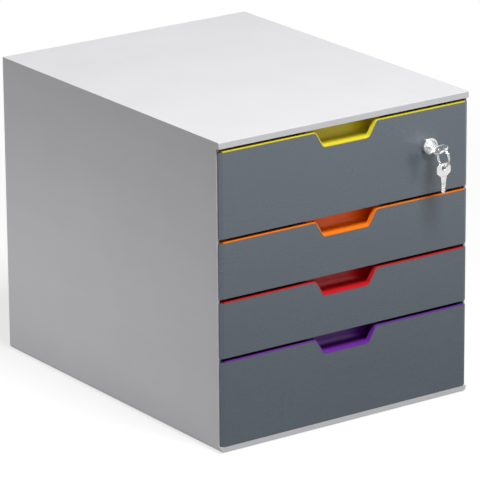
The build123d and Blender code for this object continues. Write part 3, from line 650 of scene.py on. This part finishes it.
# ------------------------------------------------------------------ keys and split ring
@dataclass
class Key:
    """A stamped key, whose bow goes round its eye and whose blade is milled and cut.

    Local axes are x across the key, y from the blade to the bow with 0 at the plug's face, and z through it.
    The milled groove starts at groove_at[0] of the blade's width, is at its full depth from groove_at[1] to
    groove_at[2], and slopes out again over groove_slope.
    """

    name: str
    node: str
    body: str
    finish: Finish
    thickness: float = 1.6 * MM
    chamfer: float = 0.14 * MM
    blade_length: float = 9.8 * MM
    blade_half: float = 2.5 * MM
    tip_half: float = 0.8 * MM
    tip_taper: float = 1.7 * MM
    neck_length: float = 6 * MM
    neck_half: float = 3.5 * MM
    bow_half: float = 8 * MM
    bow_length: float = 12.5 * MM
    bow_shoulder: float = 3.5 * MM
    corner_power: float = 30.0
    bow_steps: int = 144
    eye_radius: float = 2.3 * MM
    eye_strip: float = 2.2 * MM
    rim: float = 0.7 * MM
    coined: float = 0.13 * MM
    cuts: tuple[float, ...] = (0.5 * MM, 1.2 * MM, 0.8 * MM, 1.0 * MM)
    first_cut: float = 3.8 * MM
    cut_pitch: float = 1.6 * MM
    groove_depth: float = 0.38 * MM
    groove_at: tuple[float, float, float] = (0.22, 0.3, 0.5)
    groove_slope: float = 0.08
    blade_rows: int = 150
    smooth_to: float = 20.0

    @property
    def eye_y(self) -> float:
        """Height of the eye's middle over the plug's face."""
        return self.neck_length + self.bow_length - self.eye_strip - self.eye_radius

    def bow_outline(self, turn: np.ndarray) -> np.ndarray:
        """Distance from the eye's middle to the bow's edge, for an array of angles.

        Each straight edge i lies at a distance d_i in the direction n_i. With p for corner_power, the outline
        is (sum over i of (max(cos(turn - n_i), 0) / d_i) ** p) ** (-1 / p), which rounds the corners more the
        smaller p is.

        Args:
            turn: Angles in radians from the x axis.
        Returns:
            Distances in metres.
        """
        top = self.neck_length + self.bow_length - self.eye_y
        low = self.neck_length - self.eye_y
        corner = (self.bow_half + (top - self.bow_shoulder)) / math.sqrt(2)
        slant = np.array((self.bow_shoulder, -(self.bow_half - self.neck_half)))
        slant /= np.hypot(*slant)
        waist = slant @ (self.bow_half, low + self.bow_shoulder)
        lean = math.atan2(slant[1], slant[0])
        edges = [
            (0.0, self.bow_half),
            (math.pi / 4, corner),
            (math.pi / 2, top),
            (math.pi * 3 / 4, corner),
            (math.pi, self.bow_half),
            (math.pi - lean, waist),
            (-math.pi / 2, -low + self.chamfer),
            (lean, waist),
        ]
        direction, distance = np.array(edges).T
        reach = np.maximum(np.cos(turn[:, None] - direction), 0) / distance
        return np.sum(reach**self.corner_power, axis=1) ** (-1 / self.corner_power)

    def bow(self) -> Patch:
        """The bow: a closed section of rim, coined middle and rim, carried round the eye.

        Each point of the section stands a given inset from the eye's edge or from the outline, at a share of
        half the thickness.

        Returns:
            The surface, closed both ways.
        """
        turn = np.linspace(0, 2 * np.pi, self.bow_steps, endpoint=False)
        outline = self.bow_outline(turn)
        half, step = self.thickness / 2, self.chamfer
        edge, dip, ramp = half - step, half - self.coined, self.rim + 1.5 * self.coined
        over = [(0, 0, edge), (0, step, half), (0, self.rim, half), (0, ramp, dip)]
        over += [(1, ramp, dip), (1, self.rim, half), (1, step, half), (1, 0, edge)]
        under = [(side, inset, -height) for side, inset, height in reversed(over)]
        side, inset, height = np.array(over + under).T
        radius = (1 - side) * (self.eye_radius + inset) + side * (outline[:, None] - inset)
        points = np.stack(
            (
                radius * np.cos(turn)[:, None],
                self.eye_y + radius * np.sin(turn)[:, None],
                np.broadcast_to(height, radius.shape),
            ),
            axis=-1,
        )
        return Patch(points, ring_rows=True)

    def blade(self) -> Patch:
        """The neck and blade: a grooved section carried along the key.

        Half the width goes straight from neck to plug and tapers at the tip. Each cut takes its depth from
        the right edge, full for a quarter of its pitch and falling straight to nothing at half the pitch.

        Returns:
            The surface, with both ends drawn to a point.
        """
        along = np.linspace(-self.blade_length, self.neck_length + self.chamfer, self.blade_rows)
        half = np.interp(
            along,
            (-self.blade_length, -self.blade_length + self.tip_taper, 0.0, self.neck_length),
            (self.tip_half, self.blade_half, self.blade_half, self.neck_half),
        )
        places = -self.first_cut - self.cut_pitch * np.arange(len(self.cuts))
        share = np.clip((self.cut_pitch / 2 - np.abs(along[:, None] - places)) / (self.cut_pitch / 4), 0, 1)
        right = half - np.max(share * np.array(self.cuts), axis=1)
        width = half + right
        groove = self.groove_depth * np.clip(-along / self.cut_pitch, 0, 1)
        thick, step = self.thickness / 2, self.chamfer
        near, floor, far = (-half + share * width for share in self.groove_at)
        end = np.ones(self.blade_rows)
        upper = [
            (-half, (thick - step) * end),
            (-half + step, thick * end),
            (near, thick * end),
            (floor, thick - groove),
            (far, thick - groove),
            (far + self.groove_slope * width, thick * end),
            (right - step, thick * end),
            (right, (thick - step) * end),
        ]
        lower = [(x, -z) for x, z in reversed(upper)]
        section = np.array(upper + lower).transpose(2, 0, 1)
        points = np.stack(
            (section[..., 0], np.broadcast_to(along[:, None], section.shape[:2]), section[..., 1]), axis=-1
        )
        middle = points.mean(axis=1, keepdims=True)
        first = np.broadcast_to(middle[:1], points[:1].shape)
        last = np.broadcast_to(middle[-1:], points[-1:].shape)
        return Patch(np.concatenate((first, points, last)))

    def build(self, origin: Vector, across: Vector, outward: Vector) -> bpy.types.Object:
        """Builds and dresses the key.

        Args:
            origin: The point of the frame where the key meets the plug's face.
            across: The key's x axis in the frame.
            outward: Its y axis.
        Returns:
            The piece.
        """
        through = across.cross(outward)
        turn = np.array((across, outward, through))
        patches = [self.bow(), self.blade()]
        for patch in patches:
            patch.points = patch.points @ turn + np.array(origin)
        piece = mesh_piece(self.name, patches, self.smooth_to)
        self.finish.dress(piece)
        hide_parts(self.node)
        log.info("%s: %d faces", piece.name, len(piece.data.polygons))
        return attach(piece, self.body)


@dataclass
class SplitRing:
    """The split ring, round wire wound twice."""

    wire: float = 0.46 * MM
    turns: int = 2
    steps: int = 320
    sides: int = 16

    def build(self) -> None:
        """Builds the ring as a circle carried along a helix.

        At the angle a, the wire's middle is at (start + pitch * a / full turn, radius cos a, radius sin a),
        and the circle lies across it, spanned by the X axis and the direction from the helix's axis. Near
        each end the circle shrinks as a half sphere does.
        """
        low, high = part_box("key_ring")
        radius = (high.y - low.y) / 2 - self.wire
        middle = (low + high) / 2
        pitch = (high.x - low.x - 2 * self.wire) / self.turns
        share = np.linspace(0, 1, self.steps)
        turn = share * self.turns * 2 * np.pi
        outward = np.stack((np.zeros_like(turn), np.cos(turn), np.sin(turn)), axis=-1)
        line = radius * outward + np.array(middle)
        line[:, 0] += (share - 0.5) * pitch * self.turns
        length = share * self.turns * 2 * np.pi * radius
        to_end = np.minimum(length, length[-1] - length)
        dome = np.clip(1 - to_end / self.wire, 0, 1)
        size = self.wire * np.sqrt(np.maximum(1 - dome**2, 0))
        around = np.linspace(0, 2 * np.pi, self.sides, endpoint=False)
        circle = np.cos(around)[None, :, None] * outward[:, None, :]
        circle = circle + np.sin(around)[None, :, None] * np.array((1.0, 0.0, 0.0))
        points = line[:, None, :] + size[:, None, None] * circle
        piece = mesh_piece("split_ring_wire", [Patch(points)])
        DRAWN_WIRE.dress(piece)
        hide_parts("key_ring")
        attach(piece, "split_ring")
        log.info("%s: %d faces", piece.name, len(piece.data.polygons))


@dataclass
class KeySet:
    """The key in the lock, the spare key and the split ring that joins them.

    Attributes:
        roll: How far the key in the lock is turned about its length from lying flat, in degrees.
    """

    roll: float = 20.0

    def build(self) -> None:
        """Builds the keys where the frame's keys are."""
        lean = math.radians(self.roll)
        key = Key("key_in_lock", "key", "key", STAMPED_NICKEL)
        low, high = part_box("key")
        origin = Vector(((low.x + high.x) / 2, high.y - key.blade_length, (low.z + high.z) / 2))
        key.build(origin, Vector((math.cos(lean), 0, math.sin(lean))), Vector((0, -1, 0)))
        spare = Key("key_on_ring", "spare_key", "spare_key", HANGING_NICKEL)
        low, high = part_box("spare_key")
        origin = Vector(((low.x + high.x) / 2, (low.y + high.y) / 2, low.z + spare.blade_length))
        spare.build(origin, Vector((1, 0, 0)), Vector((0, 0, 1)))
        SplitRing().build()


# ------------------------------------------------------------------ feet
@dataclass
class Foot:
    """A rubber foot, with ring grooves on the face that it stands on."""

    node: str
    edge: float = 0.5 * MM
    groove: float = 0.3 * MM
    grooves: int = 3
    rows: int = 40
    steps: int = 72

    def build(self) -> None:
        """Builds the foot as a profile turned about its upright axis.

        The standing face's height is groove times the square of the sine of grooves half waves over the
        radius, so the face touches the table between its grooves.
        """
        low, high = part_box(self.node)
        radius = (high.x - low.x) / 2
        spread = np.linspace(0, radius - self.edge, self.rows)
        wave = np.sin(np.pi * self.grooves * spread / (radius - self.edge)) ** 2
        base = np.stack((low.z + self.groove * wave, spread), axis=-1)
        rounded = arc((low.z + self.edge, radius - self.edge), self.edge, 180, 90, 6)
        top = np.array([(high.z - self.groove, radius), (high.z, radius - self.groove), (high.z, 0.0)])
        across, ahead, along = turned(np.concatenate((base, rounded[1:], top)), self.steps)
        middle = (low + high) / 2
        points = np.stack((middle.x + across, middle.y + ahead, along), axis=-1)
        piece = mesh_piece("rubber_" + self.node, [Patch(points)])
        FOOT_RUBBER.dress(piece)
        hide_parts(self.node)
        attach(piece, "casing")
        log.info("%s: %d faces", piece.name, len(piece.data.polygons))


# ------------------------------------------------------------------ studio
@dataclass
class Studio:
    """The pale floor, the soft lights, the white surroundings and the photograph's camera.

    Attributes:
        camera: The camera's place, from a fit to the casing's corners in the photograph.
        yaw: How far it is turned to the right from facing +Y, in radians.
        pitch: How far it looks down, in radians.
        roll: How far it is rolled, in radians.
        lens: Focal length in millimetres on a 36 mm sensor.
        fill: Strength of the surroundings as diffuse surfaces see them.
        floor_seen: The floor's colour to the camera.
        floor_bounce: The floor's colour to light that bounces off it, as in a studio in half light.
        floor_mirrored: The colour of the floor next to the object, seen in its gloss, which paints a darker
            reflection into glossy surfaces.
        floor_mirror_centre: The middle of the darker patch that the gloss sees, a painted reflection that the
            camera doesn't see.
        floor_glow: How much of the floor next to the object is white to the camera whatever falls on it.
        floor_half: Half the floor's width.
        glow_fade: How far from the middle the floor starts and ends its fade to white for the camera.
        mirror_fade: How far from floor_mirror_centre the floor does so for gloss.
        aim_height: The height above the floor that the lamps face.
    """

    camera: Colour = (-2.1152, -3.0149, 1.3253)
    yaw: float = 0.6135
    pitch: float = 0.3140
    roll: float = -0.0077
    lens: float = 308.3
    fill: float = 0.1
    floor_seen: float = 0.9
    floor_bounce: float = 0.34
    floor_mirrored: float = 0.3
    floor_mirror_centre: Colour = (-0.45, 0.45, 0.0)
    floor_glow: float = 0.75
    floor_half: float = 30.0
    glow_fade: tuple[float, float] = (0.3, 1.2)
    mirror_fade: tuple[float, float] = (0.75, 1.9)
    aim_height: float = 0.15

    def place_camera(self) -> None:
        """Makes the scene's camera."""
        data = bpy.data.cameras.new("camera")
        data.sensor_width = 36
        data.lens = self.lens
        data.clip_end = 2 * self.floor_half
        camera = bpy.data.objects.new("camera", data)
        bpy.context.scene.collection.objects.link(camera)
        look = Matrix.Rotation(-self.yaw, 4, "Z") @ Matrix.Rotation(math.pi / 2 - self.pitch, 4, "X")
        camera.matrix_world = Matrix.Translation(self.camera) @ look @ Matrix.Rotation(self.roll, 4, "Z")
        bpy.context.scene.camera = camera

    def white_sky(self) -> None:
        """White where the camera, gloss or glass sees it, and a dim even fill elsewhere."""
        world = bpy.data.worlds.new("studio_sky")
        world.use_nodes = True
        bpy.context.scene.world = world
        shader = Shader(world.node_tree)
        camera, gloss, glass = self.rays(shader)
        seen = camera.math("MAXIMUM", gloss).math("MAXIMUM", glass)
        strength = seen * (1.0 - self.fill) + self.fill
        glow = shader.node("ShaderNodeBackground", {}, {"Color": (1, 1, 1, 1), "Strength": strength})
        shader.node_output("ShaderNodeOutputWorld", glow)

    def rays(self, shader: Shader) -> list[Value]:
        """Three masks: 1 for rays of the camera, of gloss and through glass."""
        outputs = shader.node("ShaderNodeLightPath", {}, {}).socket.node.outputs
        names = ("Is Camera Ray", "Is Glossy Ray", "Is Transmission Ray")
        return [Value(shader, outputs[name]) for name in names]

    def pale_floor(self) -> None:
        """A floor that takes the object's shadow near it and fades to white further off."""
        size = self.floor_half
        mesh = bpy.data.meshes.new("floor")
        corners = [(-size, -size, 0), (size, -size, 0), (size, size, 0), (-size, size, 0)]
        mesh.from_pydata(corners, [], [(0, 1, 2, 3)])
        floor = bpy.data.objects.new("floor", mesh)
        bpy.context.scene.collection.objects.link(floor)
        material = bpy.data.materials.new("studio_floor")
        material.use_nodes = True
        mesh.materials.append(material)
        shader = Shader(material.node_tree)
        away = shader.node("ShaderNodeVectorMath", {"operation": "LENGTH"}, {0: shader.place()}, "Value")
        camera, gloss, glass = self.rays(shader)
        colour = shader.blend(gloss, (self.floor_bounce,) * 3, (self.floor_mirrored,) * 3)
        colour = shader.blend(camera, colour, (self.floor_seen,) * 3)
        paint = shader.node("ShaderNodeBsdfDiffuse", {}, {"Color": colour})
        glow = shader.node("ShaderNodeEmission", {}, {"Color": (1, 1, 1, 1), "Strength": 1.0})
        far = away.step(*self.glow_fade)
        # Painted reflection: near floor_mirror_centre, gloss and glass rays see the darker diffuse floor
        # instead of the white glow
        off_centre = shader.mapped(self.floor_mirror_centre)
        reach = shader.node("ShaderNodeVectorMath", {"operation": "LENGTH"}, {0: off_centre}, "Value")
        lit = reach.step(*self.mirror_fade)
        share = camera * (far * (1.0 - self.floor_glow) + self.floor_glow) + (gloss + glass) * lit
        mixed = shader.node("ShaderNodeMixShader", {}, {0: share, 1: paint, 2: glow})
        shader.node_output("ShaderNodeOutputMaterial", mixed)

    def softbox(self, name: str, place: Colour, size: tuple[float, float], watts: float) -> bpy.types.Object:
        """Adds a rectangular lamp that faces the object's middle.

        Args:
            name: The lamp's name.
            place: Where it stands.
            size: Its width and height.
            watts: Its power.
        Returns:
            The lamp.
        """
        data = bpy.data.lights.new(name, "AREA")
        data.shape = "RECTANGLE"
        data.size, data.size_y = size
        data.energy = watts
        lamp = bpy.data.objects.new(name, data)
        lamp.visible_camera = False
        bpy.context.scene.collection.objects.link(lamp)
        aim = Vector((0, 0, self.aim_height)) - Vector(place)
        lamp.matrix_world = Matrix.Translation(place) @ aim.to_track_quat("-Z", "Y").to_matrix().to_4x4()
        return lamp

    def build(self) -> None:
        """Sets the whole stage."""
        self.place_camera()
        self.white_sky()
        self.pale_floor()
        self.softbox("overhead_light", place=(-0.05, -1.3, 2.5), size=(0.9, 0.9), watts=95.0)
        low = self.softbox("low_left_light", place=(-0.52, 0.12, 0.03), size=(0.9, 0.05), watts=1.05)
        low.visible_glossy = False
        bpy.context.scene.view_settings.view_transform = "Standard"
        log.info("stage set")


def main() -> None:
    """Builds every sub-assembly in order and reports each piece."""
    logging.basicConfig(level=logging.INFO, format="%(message)s")
    Mouldings("casing", {"casing": CASING_GREY, "back_panel": CASING_GREY}).build()
    for number, tray in enumerate(Tray, start=1):
        parts = {f"tray_{number}": tray.finish(), f"front_panel_{number}": FRONT_GREY}
        Mouldings(f"drawer_{number}", parts).build()
    Mouldings("drawer_1", {"lock_nut": ZINC_PLATE}, edge=0.1 * MM).build()
    metal = {"lock_cam": ZINC_PLATE, "cam_washer": ZINC_PLATE, "cam_screw": ZINC_PLATE}
    Mouldings("lock", metal, edge=0.12 * MM).build()
    Mouldings("lock", {"lock_wafers": WAFER_BRASS}, edge=0.0).build()
    Mouldings("casing", {"lock_strike": ZINC_PLATE}, edge=0.15 * MM).build()
    Lock().build()
    KeySet().build()
    for side in ("front_left", "front_right", "rear_left", "rear_right"):
        Foot("foot_" + side).build()
    Studio().build()


if __name__ == "__main__":
    main()
